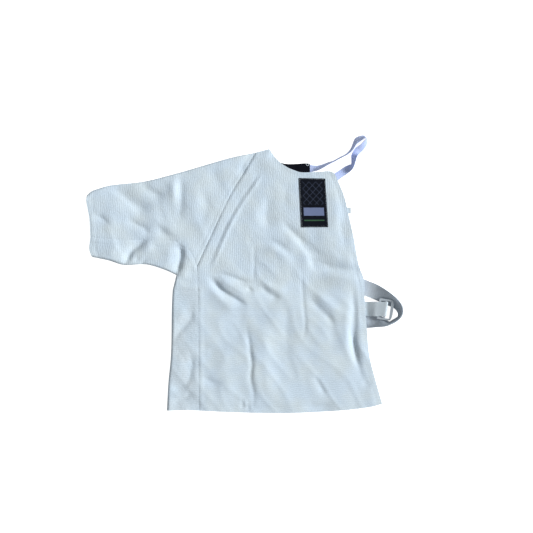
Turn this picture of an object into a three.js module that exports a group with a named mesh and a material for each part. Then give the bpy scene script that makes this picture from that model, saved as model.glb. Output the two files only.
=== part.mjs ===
// A right-handed fencing plastron, the half jacket worn under the fencing jacket, laid flat on a table with its front up.
// Millimetres, +Z up. The origin is on the table under the middle of the garment, +Y points from hem to neck, and the
// sleeve lies towards -X. The cloth is one stout wall of several layers of canvas sewn together.
import * as THREE from 'three';

// ---------- driving dimensions ----------
const clothThick = 2; // the stitched layers of canvas together
const halfCloth = clothThick / 2;
const seamGap = 0.3; // between two panels at a seam, and between any two pieces that touch
const lie = 6.6; // height of the middle of the upper cloth where nothing creases it
const tableCloth = halfCloth; // height of the middle of the cloth that rests on the table
const overBack = tableCloth + clothThick + seamGap + 0.1; // the lowest the upper cloth sinks onto the back
const overTable = halfCloth + 0.1; // and the lowest it sinks where there is no back under it
const spineX = 131; // the back panel's edge at the neck
const junction = { sleeve: [-94, 16.4], gusset: [-94.16, 15.96] }; // where sleeve, gusset and front meet
const tapeThick = 1; // neck tape
const webThick = 1.6; // waist webbing
const labelThick = 0.8;
const facingThick = 1;
const gussetEndY = -32; // seam between underarm gusset and side panel

// ---------- colours ----------
const canvas = { color: 0xc4d3df, roughness: 0.92, metalness: 0 };
const finishes = {
  canvas,
  facing: { color: 0x0a0c14, roughness: 0.85, metalness: 0 },
  tape: { color: 0xa8bdee, roughness: 0.75, metalness: 0 },
  webbing: { color: 0xa4b3c2, roughness: 0.85, metalness: 0 },
  strap: { color: 0xc7d8e1, roughness: 0.85, metalness: 0 },
  plastic: { color: 0xbecbd4, roughness: 0.35, metalness: 0 },
  label: { color: 0x0e131e, roughness: 0.7, metalness: 0 },
};

// ---------- the cut, as plan points that the edges and seams run through ----------
const cut = {
  sleeveTop: [[-313, 157], [-304, 165], [-288, 171], [-266, 177], [-200, 184.5], [-137, 200], [-20, 233.5], [22, 242]],
  cuffUpper: [[-313, 157], [-314, 146], [-308, 110], [-306, 74]],
  cuffLower: [[-306, 74], [-308, 48], [-303, 34]],
  underSleeve: [[-303, 34], [-270, 27], [-240, 18], [-195, 19], [-160, 9], [-135, -2]],
  sideUpper: [[-135, -2], [-138, -14], [-142.5, gussetEndY]],
  sideLower: [[-142.5, gussetEndY], [-144, -62], [-146, -163], [-151, -216], [-154, -272]],
  gussetSeam: [[-306, 74], [-278, 71], [-248, 69], [-188, 68], [-148, 67], [-124, 61], [-107, 44], [-94, 16]],
  raglan: [[-94, 16], [-70, 68], [-44, 124], [-22, 168], [0, 203], [22, 242]],
  seamUpper: [[-94, 16], [-92.5, -8], [-92, gussetEndY]],
  seamLower: [[-92, gussetEndY], [-91, -92], [-90, -272]],
  gussetEnd: [[-142.5, gussetEndY], [-92, gussetEndY]],
  hemSide: [[-154, -272], [-113, -271], [-90, -272]],
  hemFront: [[-90, -272], [-4, -276], [92, -277], [192, -272], [252, -265], [275.5, -259]],
  armhole: [[275.5, -259], [262, -212], [250, -165], [244.5, -107], [240, -42], [239, -12], [228, 20], [218, 75],
    [207, 123], [200, 153], [187, 186], [180.5, 200]],
  shoulder: [[22, 242], [50.5, 249.5]],
  neckFront: [[50.5, 249.5], [66, 228], [84, 214], [99, 207], [114, 202.6], [146, 203.6], [172, 204.6], [180.5, 200]],
  neckBack: [[50.5, 249.5], [56, 238], [64, 228], [72, 222.5], [84.5, 219.5], [103, 219.5], [122, 220.6], [spineX, 220]],
  hemBack: [[-90, -266], [10, -269], [112, -266]],
  spine: [[112, -266], [116, -60], [126, 120], [spineX, 220]],
};

// ---------- the largest folds: a line in plan, its height (below 0 is a trough) and its reach to either side ----------
const folds = [
  { at: [[-313, 158], [-266, 177], [-200, 185], [-20, 234]], high: 1.2, left: 24, right: 24 }, // folded shoulder edge
  { at: [[-303, 34], [-240, 18], [-195, 19], [-135, -2]], high: 1.2, left: 22, right: 22 }, // folded sleeve edge
  { at: [[-140, -20], [-146, -163], [-154, -272]], high: 1.2, left: 22, right: 22 }, // folded side
  { at: [[16, 241], [50.5, 249.5], [60, 240]], high: -4, left: 9, right: 9 }, // shoulder seam
  { at: [[-90, -272], [92, -277], [192, -272], [275, -260]], high: -1.8, left: 18, right: 18 }, // hem
  { at: [[275, -250], [244, -107], [239, -12], [218, 75], [187, 186]], high: -1.4, left: 16, right: 16 }, // armhole edge
  { at: [[-8, -120], [8, -122], [15, -160], [20, -222], [20, -277]], high: 4.6, left: 16, right: 30 }, // centre fold
  { at: [[215, -14], [219, -92], [217, -142], [226, -176], [236, -212]], high: -4.6, left: 14, right: 15 }, // long groove
  { at: [[136, 27], [166, 15], [200, 11], [240, 7]], high: -4.4, left: 15, right: 15 }, // trough above the straps
  { at: [[150, 12], [186, -6], [212, -12], [240, -14]], high: 3.2, left: 12, right: 17 }, // crest below it
  { at: [[172, -14], [200, -46], [203, -104], [190, -150]], high: 4.2, left: 16, right: 34 }, // swelling beside the groove
  { at: [[-66, -8], [-48, -28], [-24, -44], [2, -59]], high: -3.2, left: 11, right: 11 }, // pinch, lower line
  { at: [[-54, -10], [-24, -20], [10, -32], [60, -44]], high: 3, left: 15, right: 15 }, // bulge over the pinch
  { at: [[-102, -62], [-108, -88], [-128, -112], [-146, -134]], high: -2.6, left: 13, right: 13 }, // side panel
  { at: [[-107, -162], [-106, -192], [-116, -218], [-146, -224]], high: -2.6, left: 13, right: 13 }, // side panel, lower
  { at: [[-254, 172], [-232, 148], [-208, 130], [-182, 126]], high: -3, left: 15, right: 15 }, // upper sleeve
  { at: [[-232, 168], [-208, 150], [-176, 146], [-150, 160]], high: 2.8, left: 16, right: 16 }, // crest beside it
  { at: [[-193, 68], [-212, 53], [-229, 37], [-237, 19]], high: -3, left: 12, right: 12 }, // under-sleeve wedge
  { at: [[-119, 54], [-130, 38], [-132, 18], [-136, -3]], high: -3, left: 12, right: 12 }, // underarm
  { at: [[52, 128], [42, 98], [56, 66], [96, 42]], high: -2.4, left: 18, right: 18 }, // hollow of the chest
  { at: [[96, 86], [112, 64], [130, 40], [142, 24]], high: -2.2, left: 14, right: 14 }, // line down from the label
];

// Where straps and facing lie under the front, it keeps this height.
const supports = [
  { x: 100, y: 208, reachX: 62, reachY: 34, top: 6.4 }, // neck facing with the tape's end
  { x: 122, y: 24, reachX: 44, reachY: 38, top: 5.6 }, // sewn end of the waist strap
  { x: 226, y: -74, reachX: 58, reachY: 54, top: 5.8 }, // both straps at the front edge
  { x: 212, y: -14, reachX: 62, reachY: 36, top: 3.6 }, // waist strap on its way out
  { x: 190, y: 192, reachX: 34, reachY: 30, top: 3.2 }, // tape's end at the shoulder corner
  { x: 204, y: 127, reachX: 30, reachY: 26, top: 4.2 }, // tab
];

// ---------- helpers in plan ----------
const clamp01 = (v) => Math.min(1, Math.max(0, v));
const ease = (v) => clamp01(v) ** 2 * (3 - 2 * clamp01(v));

// steps + 1 points spaced evenly along a smooth line through the given plan points
function along(points, steps) {
  const line = new THREE.CatmullRomCurve3(points.map(([x, y]) => new THREE.Vector3(x, y, 0)), false, 'centripetal');
  return line.getSpacedPoints(steps).map((p) => [p.x, p.y]);
}

const reversed = (line) => [...line].reverse();
const joined = (...lines) => lines.flatMap((line, i) => (i ? line.slice(1) : line));

// The line moved sideways in plan: a positive distance is to the left of its run.
function shifted(line, distance) {
  return line.map(([x, y], i) => {
    const [ax, ay] = line[Math.max(i - 1, 0)];
    const [bx, by] = line[Math.min(i + 1, line.length - 1)];
    const long = Math.hypot(bx - ax, by - ay);
    return [x - (distance * (by - ay)) / long, y + (distance * (bx - ax)) / long];
  });
}

// Signed distance to a line and how far along it the nearest point is, from 0 to 1.
function nearLine(line, x, y) {
  let best = { away: Infinity, run: 0 };
  for (let i = 0; i + 1 < line.length; i++) {
    const [ax, ay] = line[i];
    const dx = line[i + 1][0] - ax;
    const dy = line[i + 1][1] - ay;
    const t = clamp01(((x - ax) * dx + (y - ay) * dy) / (dx * dx + dy * dy));
    const away = Math.hypot(x - ax - t * dx, y - ay - t * dy);
    if (away < Math.abs(best.away)) {
      const side = Math.sign(dx * (y - ay) - dy * (x - ax)) || 1;
      best = { away: away * side, run: (i + t) / (line.length - 1) };
    }
  }
  return best;
}

const foldLines = folds.map((fold) => ({ ...fold, line: along(fold.at, 12) }));

// Height of the middle of the upper cloth above the table.
function height(x, y) {
  let z = lie;
  for (const { line, high, left, right } of foldLines) {
    const { away } = nearLine(line, x, y);
    z += high * Math.exp(-((away / (away > 0 ? left : right)) ** 2));
  }
  let least = THREE.MathUtils.lerp(overBack, overTable, ease((x - 158) / 34));
  for (const s of supports) {
    const far = Math.hypot((x - s.x) / s.reachX, (y - s.y) / s.reachY);
    least = Math.max(least, THREE.MathUtils.lerp(s.top, least, ease((far - 0.75) / 0.7)));
  }
  const over = z - least;
  return least + (over + Math.hypot(over, 1)) / 2;
}

// Plan points of a panel between its four edges: rows run from the start edge to the end edge.
function patch(start, end, low, high) {
  const rows = low.length - 1;
  const columns = start.length - 1;
  return low.map((lowPoint, i) => start.map((startPoint, j) => [0, 1].map((k) => {
    const v = i / rows;
    const u = j / columns;
    const ruled = (1 - v) * start[j][k] + v * end[j][k] + (1 - u) * low[i][k] + u * high[i][k];
    const corners = (1 - v) * ((1 - u) * start[0][k] + u * start[columns][k])
      + v * ((1 - u) * end[0][k] + u * end[columns][k]);
    return ruled - corners;
  })));
}

// ---------- solids ----------
// A closed wall between two grids of points, outer and inner, of the same size.
function wall(outer, inner) {
  const rows = outer.length;
  const columns = outer[0].length;
  const points = [...outer.flat(), ...inner.flat()];
  const index = (side, i, j) => side * rows * columns + i * columns + j;
  const faces = [];
  const quad = (a, b, c, d) => faces.push(a, b, c, a, c, d);
  for (let i = 0; i + 1 < rows; i++) {
    for (let j = 0; j + 1 < columns; j++) {
      quad(index(0, i, j), index(0, i + 1, j), index(0, i + 1, j + 1), index(0, i, j + 1));
      quad(index(1, i, j), index(1, i, j + 1), index(1, i + 1, j + 1), index(1, i + 1, j));
    }
    quad(index(0, i, 0), index(1, i, 0), index(1, i + 1, 0), index(0, i + 1, 0));
    const last = columns - 1;
    quad(index(0, i, last), index(0, i + 1, last), index(1, i + 1, last), index(1, i, last));
  }
  for (let j = 0; j + 1 < columns; j++) {
    quad(index(0, 0, j), index(0, 0, j + 1), index(1, 0, j + 1), index(1, 0, j));
    const last = rows - 1;
    quad(index(0, last, j), index(1, last, j), index(1, last, j + 1), index(0, last, j + 1));
  }
  const geometry = new THREE.BufferGeometry();
  geometry.setAttribute('position', new THREE.BufferAttribute(new Float32Array(points.flat()), 3));
  geometry.setIndex(faces);
  return facingOut(geometry);
}

// The geometry with its faces turned to point out, if its volume comes out negative.
function facingOut(geometry) {
  const p = geometry.getAttribute('position');
  const index = geometry.index.array;
  const [a, b, c] = [new THREE.Vector3(), new THREE.Vector3(), new THREE.Vector3()];
  let volume = 0;
  for (let i = 0; i < index.length; i += 3) {
    a.fromBufferAttribute(p, index[i]);
    b.fromBufferAttribute(p, index[i + 1]);
    c.fromBufferAttribute(p, index[i + 2]);
    volume += a.dot(b.cross(c));
  }
  if (volume < 0) {
    for (let i = 0; i < index.length; i += 3) [index[i + 1], index[i + 2]] = [index[i + 2], index[i + 1]];
  }
  geometry.computeVertexNormals();
  return geometry;
}

// A sheet over plan points: its middle is at heightAt, and it is thick mm through.
function sheet(plan, heightAt, thick) {
  const lift = (by) => plan.map((row) => row.map(([x, y]) => [x, y, heightAt(x, y) + by]));
  return wall(lift(thick / 2), lift(-thick / 2));
}

// A panel folded round its outer edge: the upper half follows height(), the lower half lies on the table.
function foldedPanel(plan) {
  const arcSteps = 5;
  const section = (row) => {
    const [ox, oy] = row[0];
    const reach = Math.hypot(row[1][0] - ox, row[1][1] - oy);
    const [ex, ey] = [(row[1][0] - ox) / reach, (row[1][1] - oy) / reach];
    const radius = (height(ox + 4 * ex, oy + 4 * ey) - tableCloth) / 2;
    const middle = radius + halfCloth;
    const upper = row.slice(1).reverse().map(([x, y]) => ({ x, y, z: height(x, y), nx: 0, ny: 0, nz: 1 }));
    const arc = Array.from({ length: arcSteps + 1 }, (_, k) => {
      const turn = Math.PI / 2 - (Math.PI * k) / arcSteps;
      const [out, up] = [Math.cos(turn), Math.sin(turn)];
      return {
        x: ox + ex * (middle - radius * out), y: oy + ey * (middle - radius * out), z: tableCloth + radius * (1 + up),
        nx: -ex * out, ny: -ey * out, nz: up,
      };
    });
    const lower = row.slice(1).map(([x, y]) => ({ x, y, z: tableCloth, nx: 0, ny: 0, nz: -1 }));
    return [...upper, ...arc, ...lower];
  };
  const sections = plan.map(section);
  const side = (by) => sections.map((s) => s.map((p) => [p.x + by * p.nx, p.y + by * p.ny, p.z + by * p.nz]));
  return wall(side(halfCloth), side(-halfCloth));
}

// A strap or tape between two edge lines, each row { ax, ay, az, bx, by, bz }, refined steps times and thick mm through.
function ribbon(rows, thick, steps) {
  const rail = (k) => new THREE.CatmullRomCurve3(
    rows.map((r) => new THREE.Vector3(r[k + 'x'], r[k + 'y'], r[k + 'z'])), false, 'centripetal');
  const [railA, railB] = [rail('a'), rail('b')];
  const spans = (rows.length - 1) * steps;
  const onTable = (p) => p.setZ(Math.max(p.z, thick / 2));
  const pairs = Array.from({ length: spans + 1 }, (_, i) => [railA, railB].map((r) => onTable(r.getPoint(i / spans))));
  const across = [0, 0.5, 1];
  const middle = pairs.map(([a, b]) => across.map((t) => a.clone().lerp(b, t)));
  const offset = (by) => middle.map((row, i) => row.map((p, j) => {
    const before = middle[Math.max(i - 1, 0)][j];
    const after = middle[Math.min(i + 1, middle.length - 1)][j];
    const width = pairs[i][1].clone().sub(pairs[i][0]);
    const normal = after.clone().sub(before).cross(width).normalize();
    return p.clone().addScaledVector(normal, by).toArray();
  }));
  return wall(offset(thick / 2), offset(-thick / 2));
}

// ---------- edges and seams, sampled once so that neighbours share their points ----------
const steps = { sleeve: 20, raglan: 11, cuffLower: 4, side: 14, gussetSide: 3, hemSide: 4, front: 22, neck: 20 };
const edge = {
  sleeveTop: along(cut.sleeveTop, steps.sleeve),
  cuffUpper: along(cut.cuffUpper, steps.raglan),
  cuffLower: along(cut.cuffLower, steps.cuffLower),
  underSleeve: along(cut.underSleeve, steps.sleeve),
  sideUpper: along(cut.sideUpper, steps.gussetSide),
  sideLower: along(cut.sideLower, steps.side),
  gussetSeam: along(cut.gussetSeam, steps.sleeve),
  raglan: along(cut.raglan, steps.raglan),
  seamUpper: along(cut.seamUpper, steps.gussetSide),
  seamLower: along(cut.seamLower, steps.side),
  shoulder: along(cut.shoulder, 2),
};
const halfGap = seamGap / 2;

function raglanSleeve() {
  const top = [...edge.sleeveTop];
  const seam = shifted(edge.gussetSeam, halfGap);
  const shoulderSeam = shifted(reversed(edge.raglan), -halfGap);
  seam[seam.length - 1] = shoulderSeam[shoulderSeam.length - 1] = junction.sleeve;
  top[top.length - 1] = shoulderSeam[0];
  return foldedPanel(patch(edge.cuffUpper, shoulderSeam, top, seam));
}

function underarmGusset() {
  const outer = joined(edge.underSleeve, edge.sideUpper);
  const inner = joined(shifted(edge.gussetSeam, -halfGap), shifted(edge.seamUpper, -halfGap));
  const cuff = reversed(edge.cuffLower);
  const end = along(cut.gussetEnd, steps.cuffLower);
  const lifted = end.map(([x, y]) => [x, y + halfGap]);
  inner[steps.sleeve] = junction.gusset;
  inner[inner.length - 1] = lifted[lifted.length - 1] = [-92 - halfGap, gussetEndY + halfGap];
  outer[outer.length - 1] = lifted[0];
  inner[0] = cuff[cuff.length - 1] = [-306, 74 - halfGap];
  return foldedPanel(patch(cuff, lifted, outer, inner));
}

function sidePanel() {
  const outer = [...edge.sideLower];
  const inner = shifted(edge.seamLower, -halfGap);
  const top = along(cut.gussetEnd, steps.hemSide).map(([x, y]) => [x, y - halfGap]);
  const hem = along(cut.hemSide, steps.hemSide);
  outer[0] = top[0];
  inner[0] = top[top.length - 1] = [-92 - halfGap, gussetEndY - halfGap];
  hem[hem.length - 1] = inner[inner.length - 1];
  return foldedPanel(patch(top, hem, outer, inner));
}

function frontPanel() {
  const left = shifted(joined(reversed(edge.seamLower), reversed(edge.seamUpper), edge.raglan), -halfGap);
  const hem = along(cut.hemFront, steps.front);
  const right = along(cut.armhole, left.length - 1);
  const neck = joined(edge.shoulder, along(cut.neckFront, steps.front - 2));
  hem[0] = left[0];
  neck[0] = left[left.length - 1];
  return sheet(patch(hem, neck, left, right), height, clothThick);
}

function backPanel() {
  const left = shifted(joined(reversed(edge.seamLower), reversed(edge.seamUpper), edge.raglan), -halfGap);
  const hem = along(cut.hemBack, 8);
  const right = along(cut.spine, left.length - 1);
  const neck = joined(along(cut.shoulder, 1), along(cut.neckBack, 7));
  left[0] = hem[0] = [left[0][0], hem[0][1]];
  neck[0] = left[left.length - 1];
  return sheet(patch(hem, neck, left, right), () => tableCloth, clothThick);
}

// The facing follows the back neckline inside, and rises over the end of the tape that is sewn under it.
function neckFacing() {
  const depth = 22;
  const proud = 0.4;
  const upper = along(cut.neckBack.slice(1), 12).map(([x, y]) => [x + proud / 2, y + proud]);
  const plan = upper.map(([x, y], i) => [0, 0.5, 1].map((t) => [x - 10 * t * (1 - i / 12), y - depth * t]));
  const resting = clothThick + seamGap + 0.08 + facingThick / 2;
  const overTape = tapeThick + seamGap + 0.1;
  return sheet(plan, (x) => resting + overTape * ease((x - 100) / 12), facingThick);
}

function chestLabel() {
  const corners = { topLeft: [109, 191], topRight: [161.5, 190], bottomLeft: [114, 93], bottomRight: [167.5, 93.5] };
  const side = (from, to, n) => along([from, to], n);
  const plan = patch(side(corners.bottomLeft, corners.bottomRight, 4), side(corners.topLeft, corners.topRight, 4),
    side(corners.bottomLeft, corners.topLeft, 8), side(corners.bottomRight, corners.topRight, 8));
  const proud = halfCloth + 0.45 + labelThick / 2;
  return sheet(plan, (x, y) => height(x, y) + proud, labelThick);
}

// The neck tape leaves the back neck flat, stands on its edge, turns back on itself at its far end, and comes down
// flat to the front's shoulder corner.
function neckTape() {
  const flat = tapeThick / 2;
  const table = 0.6;
  const sewn = clothThick + seamGap + 0.1 + flat;
  const rows = [
    { ax: 117, ay: 218, az: sewn, bx: 117, by: 203.2, bz: sewn },
    { ax: 126, ay: 218, az: sewn, bx: 126, by: 203.2, bz: sewn },
    { ax: 133, ay: 217.8, az: sewn, bx: 133, by: 203.4, bz: sewn + 0.1 },
    { ax: 139, ay: 217, az: 2.2, bx: 139.5, by: 204.8, bz: 4.8 },
    { ax: 147, ay: 216.5, az: 1.2, bx: 148, by: 206.8, bz: 10 },
    { ax: 157, ay: 219, az: table, bx: 159, by: 212, bz: 13.8 },
    { ax: 168, ay: 223, az: table, bx: 170, by: 218.5, bz: 14.6 },
    { ax: 178, ay: 226, az: table, bx: 179, by: 223, bz: 15 },
    { ax: 191, ay: 233, az: table, bx: 193, by: 230.5, bz: 15 },
    { ax: 204, ay: 240, az: table, bx: 206, by: 237.5, bz: 15 },
    { ax: 213, ay: 250, az: table, bx: 216, by: 246.5, bz: 14.8 },
    { ax: 218.5, ay: 263.5, az: table, bx: 224, by: 258.5, bz: 13.5 },
    { ax: 222, ay: 271, az: table, bx: 229.5, by: 263, bz: 10.8 },
    { ax: 230, ay: 275.5, az: table, bx: 235, by: 267, bz: 11.6 },
    { ax: 240.5, ay: 276.5, az: table, bx: 241.5, by: 270.5, bz: 14 },
    { ax: 245.5, ay: 270, az: table, bx: 242.5, by: 268, bz: 14.6 },
    { ax: 246, ay: 261, az: table, bx: 239, by: 264.5, bz: 13 },
    { ax: 240.5, ay: 251, az: table, bx: 232, by: 257.5, bz: 10.4 },
    { ax: 232, ay: 241.5, az: 1.6, bx: 221, by: 250, bz: 4.4 },
    { ax: 226, ay: 235.5, az: 9, bx: 214.5, by: 236.5, bz: 1 },
    { ax: 222.5, ay: 226, az: 13.4, bx: 214.5, by: 227, bz: table },
    { ax: 219.5, ay: 216, az: 14, bx: 214, by: 219.5, bz: table },
    { ax: 216, ay: 209, az: 11.2, bx: 210, by: 218, bz: table },
    { ax: 209, ay: 202.5, az: 4, bx: 201.5, by: 214.5, bz: table },
    { ax: 201.5, ay: 197, az: table, bx: 193, by: 209, bz: table },
    { ax: 188.5, ay: 188, az: 2.6, bx: 180.5, by: 200.5, bz: 2.6 },
    { ax: 180, ay: 182.5, az: 3.2, bx: 172.5, by: 195.5, bz: 3.2 },
  ];
  return ribbon(rows, tapeThick, 3);
}

// The waist strap is sewn to the back's edge, comes out under the front, turns back standing on its inner edge, and
// its free end goes back under the front.
function waistStrap() {
  const table = webThick / 2 + 0.05;
  const sewn = clothThick + seamGap + webThick / 2;
  const rows = [
    { ax: 111, ay: 42, az: sewn, bx: 100, by: 14, bz: sewn },
    { ax: 132, ay: 34, az: sewn, bx: 121, by: 6, bz: sewn },
    { ax: 154, ay: 25, az: 1.6, bx: 143, by: -3, bz: 1.6 },
    { ax: 198, ay: 7.5, az: table, bx: 186.5, by: -20, bz: table },
    { ax: 245, ay: -12.5, az: table, bx: 233.5, by: -40, bz: table },
    { ax: 264.5, ay: -20.5, az: 6, bx: 253.5, by: -48, bz: table },
    { ax: 283, ay: -32, az: 15.2, bx: 271.5, by: -55.5, bz: table },
    { ax: 297.5, ay: -43.5, az: 21.6, bx: 287.5, by: -62.5, bz: table },
    { ax: 309, ay: -56, az: 26.6, bx: 299, by: -67.5, bz: table },
    { ax: 313.8, ay: -67, az: 29, bx: 305.5, by: -74, bz: table },
    { ax: 313.8, ay: -76, az: 29.6, bx: 307.8, by: -79.5, bz: table },
    { ax: 311.5, ay: -83, az: 30, bx: 307.5, by: -84.5, bz: table },
    { ax: 307, ay: -88.5, az: 30.2, bx: 304.5, by: -87.5, bz: table },
    { ax: 298.5, ay: -95, az: 30.4, bx: 298, by: -91.4, bz: table },
    { ax: 291, ay: -98.6, az: 30.2, bx: 290.5, by: -95.4, bz: table },
    { ax: 284, ay: -101.5, az: 28.8, bx: 283, by: -91.5, bz: table },
    { ax: 277, ay: -103.8, az: 23.4, bx: 274, by: -84.5, bz: table },
    { ax: 268, ay: -105.5, az: 12.4, bx: 265, by: -78.8, bz: table },
    { ax: 257, ay: -107, az: 5, bx: 255.5, by: -77.8, bz: table },
    { ax: 244.5, ay: -108, az: 1.4, bx: 244, by: -78.5, bz: table },
    { ax: 218, ay: -109, az: table, bx: 218, by: -79.5, bz: table },
    { ax: 190, ay: -110, az: table, bx: 190, by: -80.5, bz: table },
  ];
  return ribbon(rows, webThick, 3);
}

const buckle = {
  x: 281, y: -70.6, z: 13.6, turn: THREE.MathUtils.degToRad(-8), tilt: THREE.MathUtils.degToRad(-15),
  wide: 30, tall: 42, bar: 4.4, middleBar: [-2.5, 1.1], thick: 2.6, corner: 6, strapThick: 1.5,
};
const buckleTurn = new THREE.Euler(0, buckle.tilt, buckle.turn, 'ZYX');

// The short strap is sewn inside the front's edge, lies over the buckle's inner bar and turns round its middle bar.
// Its rows are first at x and height z, then across the buckle at u from its middle and w above its plane.
function buckleStrap() {
  const half = 14.4;
  const middleY = buckle.y + 1;
  const clear = (buckle.thick + buckle.strapThick) / 2 + seamGap + 0.1;
  const free = [{ x: 204, z: 3.2 }, { x: 216, z: 3.2 }, { x: 234, z: 3.2 }, { x: 245, z: 4.2 }, { x: 253, z: 7.6 }];
  const round = [
    { u: -20, w: clear + 0.3 }, { u: -13, w: clear + 0.1 }, { u: -6, w: clear }, { u: 1.3, w: clear },
    { u: 2.4, w: 1.7 }, { u: 2.7, w: 0 }, { u: 2.4, w: -1.7 }, { u: 1.3, w: -clear }, { u: -6, w: -clear },
    { u: -13, w: -clear }, { u: -20, w: -clear },
  ];
  const onBuckle = ({ u, w }, side) => {
    const drift = u * Math.cos(buckle.tilt) * Math.sin(buckle.turn);
    const v = (middleY + side * half - buckle.y - drift) / Math.cos(buckle.turn);
    return new THREE.Vector3(u, v, w).applyEuler(buckleTurn).add(new THREE.Vector3(buckle.x, buckle.y, buckle.z));
  };
  const rows = [
    ...free.map(({ x, z }) => ({ ax: x, ay: middleY + half, az: z, bx: x, by: middleY - half, bz: z })),
    ...round.map((at) => {
      const [a, b] = [onBuckle(at, 1), onBuckle(at, -1)];
      return { ax: a.x, ay: a.y, az: a.z, bx: b.x, by: b.y, bz: b.z };
    }),
  ];
  return ribbon(rows, buckle.strapThick, 2);
}

// The slide buckle: three bars between two rails, its outer side bowed.
function sliderBuckle() {
  const { wide, tall, bar, middleBar, corner, thick } = buckle;
  const [w, h] = [wide / 2, tall / 2];
  const outline = new THREE.Shape();
  outline.moveTo(-w + corner / 2, -h);
  outline.lineTo(w - corner - 2, -h);
  outline.quadraticCurveTo(w - 1, -h, w - 1, -h + corner + 1);
  outline.quadraticCurveTo(w + 1.5, 0, w - 1, h - corner - 1);
  outline.quadraticCurveTo(w - 1, h, w - corner - 2, h);
  outline.lineTo(-w + corner / 2, h);
  outline.quadraticCurveTo(-w, h, -w, h - corner / 2);
  outline.lineTo(-w, -h + corner / 2);
  outline.quadraticCurveTo(-w, -h, -w + corner / 2, -h);
  const slot = (left, right, high) => {
    const hole = new THREE.Path();
    hole.moveTo(left, -high);
    hole.lineTo(left, high);
    hole.lineTo(right, high);
    hole.lineTo(right, -high);
    hole.closePath();
    return hole;
  };
  outline.holes.push(slot(-w + bar, middleBar[0], h - bar), slot(middleBar[1], w - bar - 1, h - bar + 0.5));
  const geometry = new THREE.ExtrudeGeometry(outline, { depth: thick, bevelEnabled: false, curveSegments: 5 });
  geometry.translate(0, 0, -thick / 2);
  return geometry;
}

// A folded end of tape, sewn inside the front at its armhole edge.
function armholeTab() {
  const thick = 2.2;
  const plan = [197, 201, 205, 209, 213].map((x) => [120.5, 126.5, 132.5].map((y) => [x, y + (x - 205) / 12]));
  const below = (clothThick + thick) / 2 + seamGap;
  return sheet(plan, (x, y) => height(x, y) - below, thick);
}

// ---------- the garment ----------
const plastron = new THREE.Group();
const add = (name, geometry, finish) => {
  const mesh = new THREE.Mesh(geometry, new THREE.MeshStandardMaterial(finish));
  mesh.name = name;
  plastron.add(mesh);
  return mesh;
};

add('front_panel', frontPanel(), finishes.canvas);
add('raglan_sleeve', raglanSleeve(), finishes.canvas);
add('underarm_gusset', underarmGusset(), finishes.canvas);
add('side_panel', sidePanel(), finishes.canvas);
add('back_panel', backPanel(), finishes.canvas);
add('neck_facing', neckFacing(), finishes.facing);
add('neck_tape', neckTape(), finishes.tape);
add('waist_strap', waistStrap(), finishes.webbing);
add('buckle_strap', buckleStrap(), finishes.strap);
const slider = add('slider', sliderBuckle(), finishes.plastic);
slider.position.set(buckle.x, buckle.y, buckle.z);
slider.rotation.copy(buckleTurn);
add('chest_label', chestLabel(), finishes.label);
add('armhole_tab', armholeTab(), finishes.strap);

export default plastron;
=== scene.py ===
# Fencing plastron laid flat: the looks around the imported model.
# Plan sizes are in millimetres, as the pattern was drawn.
import math

import bpy
import numpy as np
from mathutils import Euler, Matrix, Vector, noise


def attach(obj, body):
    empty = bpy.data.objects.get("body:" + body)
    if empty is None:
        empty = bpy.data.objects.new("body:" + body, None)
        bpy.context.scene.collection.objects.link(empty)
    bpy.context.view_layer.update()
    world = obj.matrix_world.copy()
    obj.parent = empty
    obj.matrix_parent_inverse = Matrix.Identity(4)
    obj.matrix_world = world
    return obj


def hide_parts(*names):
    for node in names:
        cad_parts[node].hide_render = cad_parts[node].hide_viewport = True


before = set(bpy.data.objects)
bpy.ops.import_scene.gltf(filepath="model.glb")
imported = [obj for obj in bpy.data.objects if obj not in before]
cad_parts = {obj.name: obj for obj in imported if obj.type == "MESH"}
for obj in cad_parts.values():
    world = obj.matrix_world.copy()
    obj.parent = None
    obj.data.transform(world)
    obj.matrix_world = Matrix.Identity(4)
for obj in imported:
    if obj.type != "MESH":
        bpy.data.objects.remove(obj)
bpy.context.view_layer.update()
print("frame loaded")

mm = 0.001

cameraSetup = {
    "target": (0.0447, 0.015, 0.0),
    "distance": 2.0,
    "seenWidth": 1.066,  # metres of table across the picture
    "sensor": 36.0,
}
lightSetup = {
    "worldStrength": 0.34,
    "sunStrength": 4.1,
    "sunAngle": 16.0,  # degrees, so the shadows are soft
    "sunFrom": (0.84, 0.14, 0.48),
    "floorGlow": 0.93,
}

clothSetup = {
    "thick": 2.0,
    "lie": 9.0,  # middle of the upper cloth where nothing creases it
    "tableMiddle": 1.0,
    "overBack": 3.4,
    "overTable": 1.1,
    "seamGap": 0.08,
    "softHeight": 1.5,  # slow waviness of the whole cloth
    "crumple": 0.7,
    "creased": 0.7,  # height of the chance creases between the placed ones
    "fineHeight": 0.16,
    "foldHeight": 1.05,  # shares of the height and reach that each placed fold has
    "foldLeft": 1.05,
    "foldRight": 1.35,
}

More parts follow.
